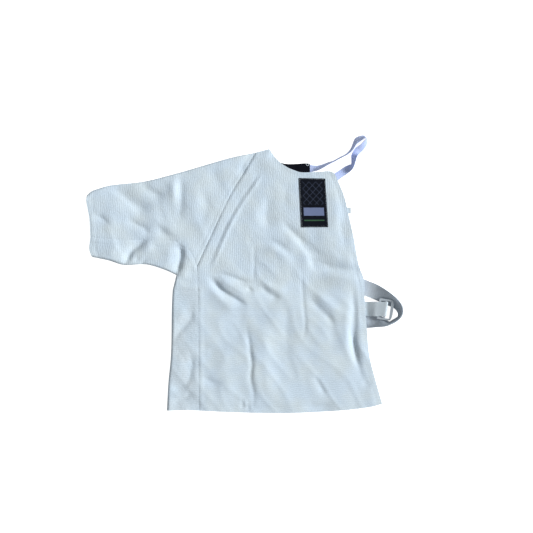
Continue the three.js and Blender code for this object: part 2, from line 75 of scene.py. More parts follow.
# The cut, as plan points that the edges and seams run through
cut = {
    "sleeveTop": [(-313, 157), (-304, 165), (-288, 171), (-266, 177), (-200, 184.5), (-137, 200),
                  (-20, 233.5), (22, 242)],
    "cuffUpper": [(-313, 157), (-314, 146), (-308, 110), (-306, 74)],
    "cuffLower": [(-306, 74), (-308, 48), (-303, 34)],
    "underSleeve": [(-303, 34), (-270, 27), (-240, 18), (-195, 19), (-160, 9), (-135, -2)],
    "sideUpper": [(-135, -2), (-138, -14), (-142.5, -32)],
    "sideLower": [(-142.5, -32), (-144, -62), (-146, -163), (-151, -216), (-154, -272)],
    "gussetSeam": [(-306, 74), (-278, 71), (-248, 69), (-188, 68), (-148, 67), (-124, 61), (-107, 44),
                   (-94, 16)],
    "raglan": [(-94, 16), (-70, 68), (-44, 124), (-22, 168), (0, 203), (22, 242)],
    "seamUpper": [(-94, 16), (-92.5, -8), (-92, -32)],
    "seamLower": [(-92, -32), (-91, -92), (-90, -272)],
    "gussetEnd": [(-142.5, -32), (-92, -32)],
    "hemSide": [(-154, -272), (-113, -271), (-90, -272)],
    "hemFront": [(-90, -272), (-4, -276), (92, -277), (192, -272), (252, -265), (275.5, -259)],
    "armhole": [(275.5, -259), (262, -212), (250, -165), (244.5, -107), (240, -42), (239, -12), (228, 20),
                (218, 75),
                (207, 123), (200, 153), (187, 186), (180.5, 200)],
    "shoulder": [(22, 242), (50.5, 249.5)],
    "neckFront": [(50.5, 249.5), (66, 228), (84, 214), (99, 207), (114, 202.6), (146, 203.6), (172, 204.6),
                  (180.5, 200)],
    "neckBack": [(50.5, 249.5), (56, 238), (64, 228), (72, 222.5), (84.5, 219.5), (103, 219.5),
                 (122, 220.6), (131, 220)],
    "hemBack": [(-90, -266), (10, -269), (112, -266)],
    "spine": [(112, -266), (116, -60), (126, 120), (131, 220)],
}

# Each fold: plan points, height (below 0 is a trough), reach to the left and right of its run
edgeFolds = [
    ([(-313, 158), (-266, 177), (-200, 185), (-20, 234)], 1.2, 20, 20),
    ([(-303, 34), (-240, 18), (-195, 19), (-135, -2)], 1.2, 18, 18),
    ([(-140, -20), (-146, -163), (-154, -272)], 1.2, 18, 18),
    ([(16, 241), (50.5, 249.5), (60, 240)], -4.0, 9, 9),
    ([(-90, -272), (92, -277), (192, -272), (275, -260)], -1.8, 18, 18),
    ([(275, -250), (244, -107), (239, -12), (218, 75), (187, 186)], -1.4, 14, 14),
]
folds = [
    # sleeve
    ([(-262, 176), (-244, 158), (-224, 142), (-206, 133), (-176, 132)], -3.6, 12, 9),
    ([(-206, 186), (-188, 167), (-156, 150)], -2.6, 7, 7),
    ([(-141, 196), (-139, 136)], 2.8, 8, 8),
    ([(-127, 200), (-125, 150), (-128, 104)], -2.6, 7, 7),
    ([(-104, 200), (-96, 150), (-100, 110)], 1.8, 14, 14),
    ([(-304, 112), (-288, 114), (-266, 96)], -2.4, 5, 7),
    ([(-236, 110), (-208, 96), (-196, 88), (-194, 70)], -2.6, 6, 6),
    ([(-178, 101), (-152, 77), (-128, 72)], -2.4, 6, 8),
    ([(-196, 122), (-160, 98), (-118, 88)], 1.5, 12, 12),
    ([(-262, 146), (-262, 104), (-252, 78)], 1.3, 14, 14),
    ([(-188, 72), (-222, 48), (-240, 14)], -5.2, 6, 7),
    ([(-220, 35), (-206, 25), (-192, 18)], -2.2, 3, 3),
    ([(-178, 60), (-200, 46), (-214, 40)], 2.2, 8, 8),
    ([(-250, 60), (-262, 46), (-262, 30)], 1.6, 10, 10),
    ([(-138, 64), (-125, 47), (-130, 14), (-137, -8)], -5.4, 4.5, 6),
    ([(-150, 56), (-150, 34), (-154, 12)], 1.8, 9, 9),
    ([(-112, 30), (-116, 6), (-122, -14)], 1.6, 9, 9),
    ([(-4, 230), (-1, 212), (-8, 194)], -1.8, 4, 4),
    ([(-70, 214), (-52, 188), (-46, 160)], -1.2, 10, 10),
    ([(-82, 168), (-74, 130), (-88, 98)], -1.1, 9, 9),
    # chest
    ([(52, 160), (44, 118), (52, 82)], -2.6, 16, 8),
    ([(22, 150), (22, 118), (28, 84)], 1.6, 14, 14),
    ([(70, 108), (108, 72), (136, 45), (164, 36)], -4.6, 7, 8),
    ([(82, 88), (118, 46), (134, 4)], 2.8, 9, 9),
    ([(28, 68), (62, 62), (98, 38)], -2.4, 5, 6),
    ([(4, 67), (22, 62)], -1.2, 2.5, 2.5),
    ([(36, 56), (72, 43), (94, 20)], 2.0, 7, 7),
    ([(178, 170), (184, 128), (178, 84)], 1.6, 12, 12),
    ([(192, 120), (196, 84), (206, 46)], -1.3, 7, 7),
    ([(92, 190), (82, 150), (90, 118)], -1.0, 8, 8),
    ([(-66, -2), (-44, 0), (-8, -12), (26, -20)], -2.2, 3.5, 4),
    ([(-70, -4), (-44, -32), (-12, -52), (8, -64)], -4.6, 3.5, 5),
    ([(-58, -8), (-28, -22), (4, -42)], 2.6, 8, 8),
    ([(-70, -26), (-48, -50), (-14, -72)], 1.6, 9, 9),
    ([(4, -26), (20, -35)], -2.0, 3, 3),
    ([(32, -24), (56, -42), (74, -48)], -2.6, 4.5, 6),
    ([(30, -12), (60, -28), (86, -34)], 1.8, 7, 7),
    ([(112, 42), (142, 21), (170, 13), (204, 9), (256, 4)], -4.2, 8, 8),
    ([(148, 4), (176, -3), (206, -8), (252, -13)], 3.0, 8, 12),
    ([(160, 38), (190, 32), (228, 26)], 1.6, 9, 9),
    ([(20, 62), (20, 20), (20, -18)], -1.2, 3, 3),
    # lower body
    ([(4, -92), (12, -148), (16, -188), (13, -204), (20, -242), (16, -276)], -2.2, 3.5, 4),
    ([(-8, -66), (-8, -134)], -1.8, 18, 18),
    ([(44, -92), (42, -170), (46, -262)], 2.8, 18, 24),
    ([(-30, -130), (-36, -190), (-28, -262)], 1.2, 16, 16),
    ([(114, 10), (118, -52), (122, -112), (114, -136)], -1.3, 3, 3),
    ([(86, -60), (84, -120), (92, -190)], -1.0, 9, 9),
    ([(126, -44), (150, -68), (188, -106)], -2.6, 6, 6),
    ([(138, -34), (166, -56), (196, -86)], 2.0, 8, 8),
    ([(216, -22), (220, -76), (218, -128), (226, -176), (239, -214)], -4.6, 5, 5.5),
    ([(203, -60), (203, -120), (208, -172)], 2.4, 9, 12),
    ([(234, -100), (236, -140), (246, -186)], 1.2, 6, 6),
    ([(140, -200), (164, -244)], -1.8, 5, 5),
    ([(112, -264), (182, -264)], -1.6, 7, 7),
    ([(236, -210), (252, -226)], -1.2, 6, 6),
    ([(-104, -50), (-106, -88), (-128, -114), (-148, -150)], -2.0, 6, 8),
    ([(-122, -60), (-126, -84), (-142, -104)], 0.9, 9, 9),
    ([(-108, -156), (-104, -182), (-110, -212), (-122, -228)], -1.9, 5, 7),
    ([(-128, -150), (-126, -180), (-134, -206)], 0.9, 9, 9),
    ([(-148, -228), (-108, -222)], -1.7, 8, 8),
    ([(-146, -252), (-116, -246), (-104, -232)], -2.0, 4, 5),
    ([(-84, -203), (-62, -216), (-42, -216)], -1.8, 5, 6),
    ([(-88, -142), (-52, -156)], -0.9, 7, 7),
    ([(-4, -246), (-2, -272)], -1.2, 2.5, 2.5),
    ([(8, -250), (9, -274)], -1.2, 2.5, 2.5),
    ([(-80, -71), (20, -73), (120, -70)], -0.5, 3, 3),
]
# Seams and stitched hems: a sunk line, or a raised edge of the felled allowance
seamFolds = [
    ("raglan", 0, -1.1, 2.8), ("raglan", 8, -0.6, 5), ("raglan", -5, 0.4, 4), ("gussetSeam", 0, -0.5, 2.4),
    ("gussetSeam", -6, 0.4, 4), ("gussetSeam", -11, -0.25, 2), ("seamUpper", 0, -0.4, 2.4),
    ("seamLower", 0, -0.35, 2.4), ("seamLower", 6, 0.4, 4), ("seamLower", 11, -0.25, 2),
    ("gussetEnd", 0, -0.4, 2.2), ("gussetEnd", 6, 0.5, 3), ("gussetEnd", -9, 0.4, 3),
    ("hemFront", 11, -0.45, 2), ("hemSide", 11, -0.45, 2), ("armhole", 9, -0.4, 2),
    ("neckFront", -7, -0.4, 2), ("cuffUpper", 12, -0.45, 2), ("cuffLower", 12, -0.45, 2),
]
# Outer edge of the felled shoulder seam
raisedSeam = [(34, 197), (28, 186), (-2, 142), (-28, 96), (-54, 36), (-64, 10)]
# What the upper cloth rests on: centre, reach in X and Y, least height over it
supports = [
    (100, 208, 62, 34, 6.4), (122, 24, 44, 38, 5.6), (226, -74, 58, 54, 5.8), (212, -14, 62, 36, 3.6),
    (190, 192, 34, 30, 3.2), (204, 127, 30, 26, 4.2),
]


def ease(v):
    v = np.clip(v, 0, 1)
    return v * v * (3 - 2 * v)


def smoothLine(points, perSpan=12):
    # a centripetal spline through the points, with any number of coordinates
    pts = np.array(points, float)
    if len(pts) == 2:
        t = np.linspace(0, 1, perSpan + 1)[:, None]
        return pts[0] * (1 - t) + pts[1] * t
    pts = np.vstack([2 * pts[0] - pts[1], pts, 2 * pts[-1] - pts[-2]])
    knots = np.concatenate([[0], np.cumsum(np.sqrt(np.linalg.norm(np.diff(pts, axis=0), axis=1)) + 1e-9)])
    out = []
    for i in range(1, len(pts) - 2):
        t0, t1, t2, t3 = knots[i - 1:i + 3]
        t = np.linspace(t1, t2, perSpan, endpoint=False)[:, None]
        a1 = (t1 - t) / (t1 - t0) * pts[i - 1] + (t - t0) / (t1 - t0) * pts[i]
        a2 = (t2 - t) / (t2 - t1) * pts[i] + (t - t1) / (t2 - t1) * pts[i + 1]
        a3 = (t3 - t) / (t3 - t2) * pts[i + 1] + (t - t2) / (t3 - t2) * pts[i + 2]
        b1 = (t2 - t) / (t2 - t0) * a1 + (t - t0) / (t2 - t0) * a2
        b2 = (t3 - t) / (t3 - t1) * a2 + (t - t1) / (t3 - t1) * a3
        out.append((t2 - t) / (t2 - t1) * b1 + (t - t1) / (t2 - t1) * b2)
    out.append(pts[-2][None])
    return np.vstack(out)


def along(points, steps):
    line = smoothLine(points)
    run = np.concatenate([[0], np.cumsum(np.linalg.norm(np.diff(line, axis=0), axis=1))])
    at = np.linspace(0, run[-1], steps + 1)
    return np.stack([np.interp(at, run, line[:, k]) for k in range(line.shape[1])], 1)


def shifted(line, distance):
    # the line moved sideways, to the left of its run for a positive distance
    line = np.array(line, float)
    way = np.empty_like(line)
    way[1:-1] = line[2:] - line[:-2]
    way[0], way[-1] = line[1] - line[0], line[-1] - line[-2]
    way /= np.linalg.norm(way, axis=1)[:, None] + 1e-9
    return line + distance * np.stack([-way[:, 1], way[:, 0]], 1)


def joined(*lines):
    return np.vstack([lines[0]] + [l[1:] for l in lines[1:]])


def nearLine(line, x, y):
    # signed distance to a line, and how far along it the nearest point is, from 0 to 1
    best = np.full(x.shape, 1e9)
    run = np.zeros(x.shape)
    for i in range(len(line) - 1):
        ax, ay = line[i]
        dx, dy = line[i + 1] - line[i]
        t = np.clip(((x - ax) * dx + (y - ay) * dy) / (dx * dx + dy * dy + 1e-9), 0, 1)
        away = np.hypot(x - ax - t * dx, y - ay - t * dy)
        side = np.where(dx * (y - ay) - dy * (x - ax) < 0, -1.0, 1.0)
        closer = away < np.abs(best)
        best = np.where(closer, away * side, best)
        run = np.where(closer, (i + t) / (len(line) - 1), run)
    return best, run


def foldField(points, high, left, right, x, y, taper=0.22, lively=0.0):
    line = along(points, 14)
    away, run = nearLine(line, x, y)
    steep = np.abs(away) / np.where(away > 0, left, right)
    shape = np.exp(-steep ** 1.6)
    if taper:
        shape = shape * ease(run / taper + 0.12) * ease((1 - run) / taper + 0.12)
    if lively:
        shape = shape * (1 + lively * np.sin(run * 9 + points[0][0]))
    return high * shape


def noiseField(x, y, spanX, spanY, layer):
    flat = zip(x.ravel(), y.ravel())
    return np.array([noise.noise((a / spanX, b / spanY, layer)) for a, b in flat]).reshape(x.shape)


def height(x, y):
    # height of the middle of the upper cloth
    c = clothSetup
    z = np.full(x.shape, c["lie"], float)
    for points, high, left, right in edgeFolds:
        z += foldField(points, high, left, right, x, y, taper=0)
    for points, high, left, right in folds:
        reaches = left * c["foldLeft"], right * c["foldRight"]
        z += c["foldHeight"] * foldField(points, high, *reaches, x, y, taper=0.4, lively=0.15)
    for name, offset, high, reach in seamFolds:
        z += foldField(shifted(along(cut[name], 14), offset), high, reach, reach, x, y, taper=0, lively=0.2)
    z += foldField(raisedSeam, 1.3, 4, 5, x, y, taper=0.1, lively=0.2)
    z += foldField(shifted(along(raisedSeam, 14), -7), -0.8, 3.5, 3.5, x, y, taper=0.1, lively=0.2)
    slow = noiseField(x, y, 62, 70, 1.7)
    fine = noiseField(x, y, 17, 24, 5.3)
    crumple = noiseField(x, y, 30, 36, 3.1)
    creased = abs(noiseField(0.8 * x + 0.6 * y, 0.8 * y - 0.6 * x, 34, 88, 7.7))
    z += (c["softHeight"] * slow - c["creased"] * np.minimum(creased * 3.4, 1)
          + c["crumple"] * crumple + c["fineHeight"] * fine)
    least = c["overBack"] + (c["overTable"] - c["overBack"]) * ease((x - 158) / 34)
    for sx, sy, reachX, reachY, top in supports:
        far = np.hypot((x - sx) / reachX, (y - sy) / reachY)
        blend = ease((far - 0.75) / 0.7)
        least = np.maximum(least, top * (1 - blend) + least * blend)
    over = z - least
    return least + (over + np.hypot(over, 0.6)) / 2


def patch(start, end, low, high):
    # plan points between four edges: rows run from the start edge to the end edge
    v = np.linspace(0, 1, len(low))[:, None, None]
    u = np.linspace(0, 1, len(start))[None, :, None]
    start, end, low, high = [np.asarray(e, float) for e in (start, end, low, high)]
    ruled = (1 - v) * start[None] + v * end[None] + (1 - u) * low[:, None] + u * high[:, None]
    corners = (1 - v) * ((1 - u) * start[0] + u * start[-1]) + v * ((1 - u) * end[0] + u * end[-1])
    return ruled - corners


def makeMesh(name, verts, faces, uv=None, smooth=True):
    mesh = bpy.data.meshes.new(name)
    mesh.from_pydata([tuple(v) for v in verts], [], faces)
    mesh.update()
    if uv is not None:
        layer = mesh.uv_layers.new(name="cut")
        index = np.empty(len(mesh.loops), int)
        mesh.loops.foreach_get("vertex_index", index)
        layer.data.foreach_set("uv", np.asarray(uv, float)[index].ravel())
    if smooth:
        mesh.polygons.foreach_set("use_smooth", [True] * len(mesh.polygons))
    obj = bpy.data.objects.new(name, mesh)
    bpy.context.collection.objects.link(obj)
    return obj


def wallMesh(name, outer, inner, uv):
    # a closed wall between two grids; its rim's middle row stands out a little, as a folded edge
    rows, columns = outer.shape[:2]
    count = rows * columns
    ids = np.arange(count).reshape(rows, columns)
    faces = []
    for side in (0, 1):
        a = (ids[:-1, :-1] + side * count).ravel()
        b = (ids[1:, :-1] + side * count).ravel()
        c = (ids[1:, 1:] + side * count).ravel()
        d = (ids[:-1, 1:] + side * count).ravel()
        faces += list(zip(*((a, b, c, d) if side == 0 else (a, d, c, b))))
    ring = np.concatenate([ids[:-1, 0], ids[-1, :-1], ids[:0:-1, -1], ids[0, :0:-1]])
    verts = np.vstack([outer.reshape(-1, 3), inner.reshape(-1, 3)])
    inward = np.concatenate([ids[:-1, 1], ids[-2, :-1], ids[:0:-1, -2], ids[1, :0:-1]])
    middle = (verts[ring] + verts[ring + count]) / 2
    out = middle - (verts[inward] + verts[inward + count]) / 2
    out /= np.linalg.norm(out, axis=1)[:, None] + 1e-9
    thick = np.linalg.norm(verts[ring] - verts[ring + count], axis=1)[:, None]
    verts = np.vstack([verts, middle + out * thick * 0.06])
    size = len(ring)
    for i in range(size):
        j = (i + 1) % size
        a, b = ring[i], ring[j]
        m, n = 2 * count + i, 2 * count + j
        faces.append((int(b), int(a), int(m), int(n)))
        faces.append((int(n), int(m), int(a + count), int(b + count)))
    uv = np.asarray(uv).reshape(-1, 2)
    obj = makeMesh(name, verts * mm, [tuple(int(k) for k in f) for f in faces],
                   np.vstack([uv, uv, uv[ring]]) * mm)
    rim = set(int(k) for k in ring) | set(int(k) + count for k in ring)
    for e in obj.data.edges:  # the rim's corners stay crisp, so a seam reads as a line and not a dark band
        e.use_edge_sharp = e.vertices[0] in rim and e.vertices[1] in rim
    volume = sum((obj.data.vertices[p.vertices[0]].co.dot(p.normal)) * p.area for p in obj.data.polygons)
    if volume < 0:
        obj.data.flip_normals()
    return obj


def sheetMesh(name, plan, heights, thick):
    lift = lambda by: np.concatenate([plan, (heights + by)[..., None]], 2)
    return wallMesh(name, lift(thick / 2), lift(-thick / 2), plan)


def underCloth(x, y):
    # faint creases in the cloth that rests on the table
    slow = noiseField(x, y, 40, 55, 9.1)
    return clothSetup["tableMiddle"] + 0.05 + 0.55 * np.maximum(slow, 0)


def foldedMesh(name, plan, arcSteps=9):
    # a panel folded round its outer edge, column 0: upper half over, lower half on the table
    half = clothSetup["thick"] / 2
    base = clothSetup["tableMiddle"] + 0.05
    upperZ = height(plan[..., 0], plan[..., 1])
    lowerZ = underCloth(plan[..., 0], plan[..., 1])
    edge = plan[:, 0]
    inward = plan[:, 1] - edge
    reach = np.linalg.norm(inward, axis=1)[:, None]
    inward = inward / reach
    near = edge + 4 * inward
    radius = (height(near[:, 0], near[:, 1]) - base) / 2
    keep = [j for j in range(1, plan.shape[1]) if np.all(np.linalg.norm(plan[:, j] - edge,
                                                                        axis=1) > radius + half + 0.6)]
    points, normals, uvs = [], [], []
    for j in reversed(keep):
        points.append(np.concatenate([plan[:, j], upperZ[:, j, None]], 1))
        normals.append(np.tile([0, 0, 1.0], (len(plan), 1)))
        uvs.append(plan[:, j])
    for k in range(arcSteps + 1):
        turn = math.pi / 2 - math.pi * k / arcSteps
        out, up = math.cos(turn), math.sin(turn)
        flat = edge + inward * (radius + half - radius * out)[:, None]
        points.append(np.concatenate([flat, (base + radius * (1 + up))[:, None]], 1))
        normals.append(np.concatenate([-inward * out, np.full((len(plan), 1), up)], 1))
        uvs.append(edge + inward * (radius * (turn + 0.2))[:, None])
    for j in keep:
        points.append(np.concatenate([plan[:, j], lowerZ[:, j, None]], 1))
        normals.append(np.tile([0, 0, -1.0], (len(plan), 1)))
        uvs.append(plan[:, j])
    points, normals, uvs = [np.stack(g, 1) for g in (points, normals, uvs)]
    return wallMesh(name, points + normals * half, points - normals * half, uvs)


def ribbonMesh(name, rows, thick, steps, across=5, cup=0.0):
    # a strap between two edge lines: rows of (ax, ay, az, bx, by, bz), with a slight cup over its width
    table = np.array(rows, float)
    a, b = smoothLine(table[:, :3], steps), smoothLine(table[:, 3:], steps)
    a[:, 2], b[:, 2] = np.maximum(a[:, 2], thick / 2), np.maximum(b[:, 2], thick / 2)
    t = np.linspace(0, 1, across)[None, :, None]
    middle = a[:, None] * (1 - t) + b[:, None] * t
    way = np.gradient(middle, axis=0)
    width = (b - a)[:, None]
    normal = np.cross(way, np.broadcast_to(width, way.shape))
    normal /= np.linalg.norm(normal, axis=2)[..., None] + 1e-9
    middle = middle + normal * cup * np.sin(math.pi * t)
    run = np.concatenate([[0], np.cumsum(np.linalg.norm(np.diff(middle[:, across // 2], axis=0), axis=1))])
    long = np.linalg.norm(b - a, axis=1).mean()
    uv = np.stack(np.broadcast_arrays(run[:, None], t[..., 0] * long), 2)
    obj = wallMesh(name, middle + normal * thick / 2, middle - normal * thick / 2, uv)
    return obj, float(run[-1])


def groupInput(group, name, kind, value=None):
    socket = group.interface.new_socket(name, in_out="INPUT", socket_type=kind)
    if value is not None:
        socket.default_value = value


def newMaterial(name):
    material = bpy.data.materials.new(name)
    material.use_nodes = True
    return material, material.node_tree, material.node_tree.nodes["Principled BSDF"]


def noiseTexture(tree, vector, scale, detail=2):
    node = tree.nodes.new("ShaderNodeTexNoise")
    node.inputs["Scale"].default_value = scale
    node.inputs["Detail"].default_value = detail
    tree.links.new(vector, node.inputs["Vector"])
    return node


def addBump(tree, shader, relief, strength, distance):
    bump = tree.nodes.new("ShaderNodeBump")
    bump.inputs["Strength"].default_value = strength
    bump.inputs["Distance"].default_value = distance
    tree.links.new(relief, bump.inputs["Height"])
    tree.links.new(bump.outputs[0], shader.inputs["Normal"])


def mathNode(tree, operation, first, second=None, third=None):
    node = tree.nodes.new("ShaderNodeMath")
    node.operation = operation
    for i, value in enumerate((first, second, third)):
        if value is None:
            continue
        if isinstance(value, (int, float)):
            node.inputs[i].default_value = value
        else:
            tree.links.new(value, node.inputs[i])
    return node.outputs[0]


def buildWeaveGroup():
    # crossed ribs and threads from the piece's own cut coordinates, in metres
    group = bpy.data.node_groups.new("ribbedWeave", "ShaderNodeTree")
    groupInput(group, "Vector", "NodeSocketVector")
    groupInput(group, "Rib Spacing", "NodeSocketFloat", 0.0036)
    groupInput(group, "Thread Spacing", "NodeSocketFloat", 0.0012)
    groupInput(group, "Rib Strength", "NodeSocketFloat", 0.7)
    groupInput(group, "Waver", "NodeSocketFloat", 0.4)
    group.interface.new_socket("Height", in_out="OUTPUT", socket_type="NodeSocketFloat")
    group.interface.new_socket("Fibre", in_out="OUTPUT", socket_type="NodeSocketFloat")
    gi, go = group.nodes.new("NodeGroupInput"), group.nodes.new("NodeGroupOutput")
    split = group.nodes.new("ShaderNodeSeparateXYZ")
    group.links.new(gi.outputs["Vector"], split.inputs[0])
    wander = noiseTexture(group, gi.outputs["Vector"], 60, 2)
    drift = mathNode(group, "MULTIPLY", mathNode(group, "SUBTRACT", wander.outputs[0], 0.5),
                     gi.outputs["Waver"])
    turns = mathNode(group, "DIVIDE", split.outputs[0], gi.outputs["Rib Spacing"])
    rib = mathNode(group, "SINE", mathNode(group, "MULTIPLY", mathNode(group, "ADD", turns, drift),
                                           2 * math.pi))
    picks = mathNode(group, "DIVIDE", split.outputs[1], gi.outputs["Thread Spacing"])
    pick = mathNode(group, "SINE", mathNode(group, "MULTIPLY", mathNode(group, "ADD", picks, drift),
                                            2 * math.pi))
    fibre = noiseTexture(group, gi.outputs["Vector"], 900, 3)
    ribs = mathNode(group, "MULTIPLY", rib, gi.outputs["Rib Strength"])
    total = mathNode(group, "ADD", ribs, mathNode(group, "MULTIPLY", pick, 0.3))
    total = mathNode(group, "ADD", total, mathNode(group, "MULTIPLY", fibre.outputs[0], 0.5))
    group.links.new(total, go.inputs["Height"])
    group.links.new(fibre.outputs[0], go.inputs["Fibre"])
    return group


def buildPatchGroup():
    # slow patches between two tints, with a fine mottle, as washed cloth has
    group = bpy.data.node_groups.new("washedTint", "ShaderNodeTree")
    groupInput(group, "Vector", "NodeSocketVector")
    groupInput(group, "Tint", "NodeSocketColor", (0.5, 0.5, 0.5, 1))
    groupInput(group, "Second Tint", "NodeSocketColor", (0.5, 0.5, 0.5, 1))
    groupInput(group, "Patch Size", "NodeSocketFloat", 0.08)
    groupInput(group, "Mottle", "NodeSocketFloat", 0.06)
    group.interface.new_socket("Color", in_out="OUTPUT", socket_type="NodeSocketColor")
    group.interface.new_socket("Mask", in_out="OUTPUT", socket_type="NodeSocketFloat")
    gi, go = group.nodes.new("NodeGroupInput"), group.nodes.new("NodeGroupOutput")
    slow = group.nodes.new("ShaderNodeTexNoise")
    slow.inputs["Detail"].default_value = 3
    group.links.new(gi.outputs["Vector"], slow.inputs["Vector"])
    group.links.new(mathNode(group, "DIVIDE", 1.0, gi.outputs["Patch Size"]), slow.inputs["Scale"])
    spread = group.nodes.new("ShaderNodeMapRange")
    spread.inputs["From Min"].default_value = 0.38
    spread.inputs["From Max"].default_value = 0.64
    group.links.new(slow.outputs[0], spread.inputs["Value"])
    mix = group.nodes.new("ShaderNodeMix")
    mix.data_type = "RGBA"
    group.links.new(spread.outputs[0], mix.inputs[0])
    group.links.new(gi.outputs["Tint"], mix.inputs[6])
    group.links.new(gi.outputs["Second Tint"], mix.inputs[7])
    speck = noiseTexture(group, gi.outputs["Vector"], 420, 4)
    shade = mathNode(group, "MULTIPLY", mathNode(group, "SUBTRACT", speck.outputs[0], 0.5),
                     gi.outputs["Mottle"])
    bright = group.nodes.new("ShaderNodeHueSaturation")
    group.links.new(mathNode(group, "ADD", shade, 1.0), bright.inputs["Value"])
    group.links.new(mix.outputs[2], bright.inputs["Color"])
    group.links.new(bright.outputs[0], go.inputs["Color"])
    group.links.new(spread.outputs[0], go.inputs["Mask"])
    return group


weaveGroup = buildWeaveGroup()
patchGroup = buildPatchGroup()


def linear(rgb):
    parts = [c / 255 for c in rgb]
    return tuple(p / 12.92 if p <= 0.04045 else ((p + 0.055) / 1.055) ** 2.4 for p in parts) + (1.0,)


def placeGroup(tree, group, values, vector):
    node = tree.nodes.new("ShaderNodeGroup")
    node.node_tree = group
    for name, value in values.items():
        node.inputs[name].default_value = value
    tree.links.new(vector, node.inputs["Vector"])
    return node


def fabricMaterial(name, s):
    # s: tint, second, rough, rib, thread, ribStrength, bump, turn (ribs across instead of along), sheen
    material, tree, shader = newMaterial(name)
    place = tree.nodes.new("ShaderNodeUVMap")
    place.uv_map = "cut"
    turned = tree.nodes.new("ShaderNodeMapping")
    turned.inputs["Rotation"].default_value = (0, 0, math.radians(s.get("turn", 0)))
    tree.links.new(place.outputs[0], turned.inputs["Vector"])
    tints = {"Tint": linear(s["tint"]), "Second Tint": linear(s["second"]),
             "Patch Size": s.get("patch", 0.07), "Mottle": s.get("mottle", 0.16)}
    tint = placeGroup(tree, patchGroup, tints, place.outputs[0])
    ribs = {"Rib Spacing": s["rib"], "Thread Spacing": s["thread"],
            "Rib Strength": s.get("ribStrength", 0.7), "Waver": s.get("waver", 0.4)}
    weave = placeGroup(tree, weaveGroup, ribs, turned.outputs[0])
    tree.links.new(tint.outputs["Color"], shader.inputs["Base Color"])
    rough = mathNode(tree, "MULTIPLY_ADD", weave.outputs["Fibre"], 0.12, s["rough"] - 0.06)
    tree.links.new(rough, shader.inputs["Roughness"])
    fluff = noiseTexture(tree, place.outputs[0], 190, 5)  # felted, slightly pilled surface over the weave
    relief = mathNode(tree, "MULTIPLY_ADD", fluff.outputs[0], s.get("fluff", 0.4), weave.outputs["Height"])
    if "acrossBelow" in s:  # the ribs run across the cloth below this level
        aside = tree.nodes.new("ShaderNodeMapping")
        aside.inputs["Rotation"].default_value = (0, 0, math.radians(90))
        tree.links.new(place.outputs[0], aside.inputs["Vector"])
        across = placeGroup(tree, weaveGroup, {**ribs, "Rib Strength": 0.5}, aside.outputs[0])
        level = tree.nodes.new("ShaderNodeSeparateXYZ")
        tree.links.new(place.outputs[0], level.inputs[0])
        share = tree.nodes.new("ShaderNodeMapRange")
        share.inputs["From Min"].default_value = s["acrossBelow"] - 0.05
        share.inputs["From Max"].default_value = s["acrossBelow"]
        tree.links.new(level.outputs[1], share.inputs["Value"])
        blend = tree.nodes.new("ShaderNodeMix")
        tree.links.new(share.outputs[0], blend.inputs[0])
        tree.links.new(across.outputs["Height"], blend.inputs[2])
        tree.links.new(relief, blend.inputs[3])
        relief = blend.outputs[0]
    addBump(tree, shader, relief, s.get("bump", 0.5), s.get("bumpDepth", 0.0003))
    shader.inputs["Sheen Weight"].default_value = s.get("sheen", 0.08)
    shader.inputs["Specular IOR Level"].default_value = s.get("specular", 0.2)
    return material


canvasFinish = {
    "fluff": 4.0, "rough": 0.92, "mottle": 0.4, "patch": 0.05, "rib": 0.0037, "thread": 0.0012,
    "ribStrength": 0.6, "waver": 2.2, "bump": 0.42, "bumpDepth": 0.00035,
}
webFinish = {"rough": 0.8, "rib": 0.0021, "thread": 0.0013, "bump": 0.7, "patch": 0.02, "turn": 90}
finishes = {
    "canvas": {**canvasFinish, "tint": (200, 217, 231), "second": (203, 217, 225), "acrossBelow": -0.01},
    "lowerCanvas": {**canvasFinish, "tint": (196, 213, 226), "second": (199, 212, 221), "turn": 90},
    "facing": {"tint": (9, 12, 22), "second": (14, 16, 26), "rough": 0.85, "sheen": 0.0, "specular": 0.08,
               "rib": 0.0014, "thread": 0.0014, "mottle": 0.5},
    "tape": {"tint": (192, 207, 246), "second": (180, 197, 240), "rough": 0.7, "rib": 0.0016,
             "thread": 0.0016, "bump": 0.6, "patch": 0.02},
    "webbing": {**webFinish, "tint": (203, 215, 227), "second": (194, 206, 217)},
    # a lighter copy of the webbing: the added lightness is painted light, offsetting the shade on the
    # buckle strap's sloped run; the armhole tab shares it
    "strap": {**webFinish, "tint": (216, 229, 237), "second": (208, 222, 231)},
    "thread": {"tint": (214, 224, 232), "second": (200, 212, 222), "rough": 0.7, "rib": 0.0006,
               "thread": 0.0006},
}
materials = {name: fabricMaterial(name, s) for name, s in finishes.items()}


def plasticMaterial():
    material, tree, shader = newMaterial("mouldedPlastic")
    place = tree.nodes.new("ShaderNodeTexCoord")
    tint = placeGroup(tree, patchGroup, {"Tint": linear((200, 211, 220)),
                                         "Second Tint": linear((192, 204, 214)),
                                         "Patch Size": 0.012, "Mottle": 0.05}, place.outputs["Object"])
    tree.links.new(tint.outputs["Color"], shader.inputs["Base Color"])
    grain = noiseTexture(tree, place.outputs["Object"], 1400)
    tree.links.new(mathNode(tree, "MULTIPLY_ADD", grain.outputs[0], 0.15, 0.32), shader.inputs["Roughness"])
    addBump(tree, shader, grain.outputs[0], 0.15, 0.0001)
    return material


labelSetup = {
    "corners": {"topLeft": (109, 191), "topRight": (161.5, 190), "bottomLeft": (114, 93),
                "bottomRight": (167.5, 93.5)},
    "thick": 0.8, "black": (15, 20, 31), "band": (112, 125, 160), "line": (58, 66, 84), "cord": (60, 96,
                                                                                                 70),
    "bandFrom": 0.235, "bandTo": 0.40, "latticeAcross": 4, "latticeAlong": 7,
}


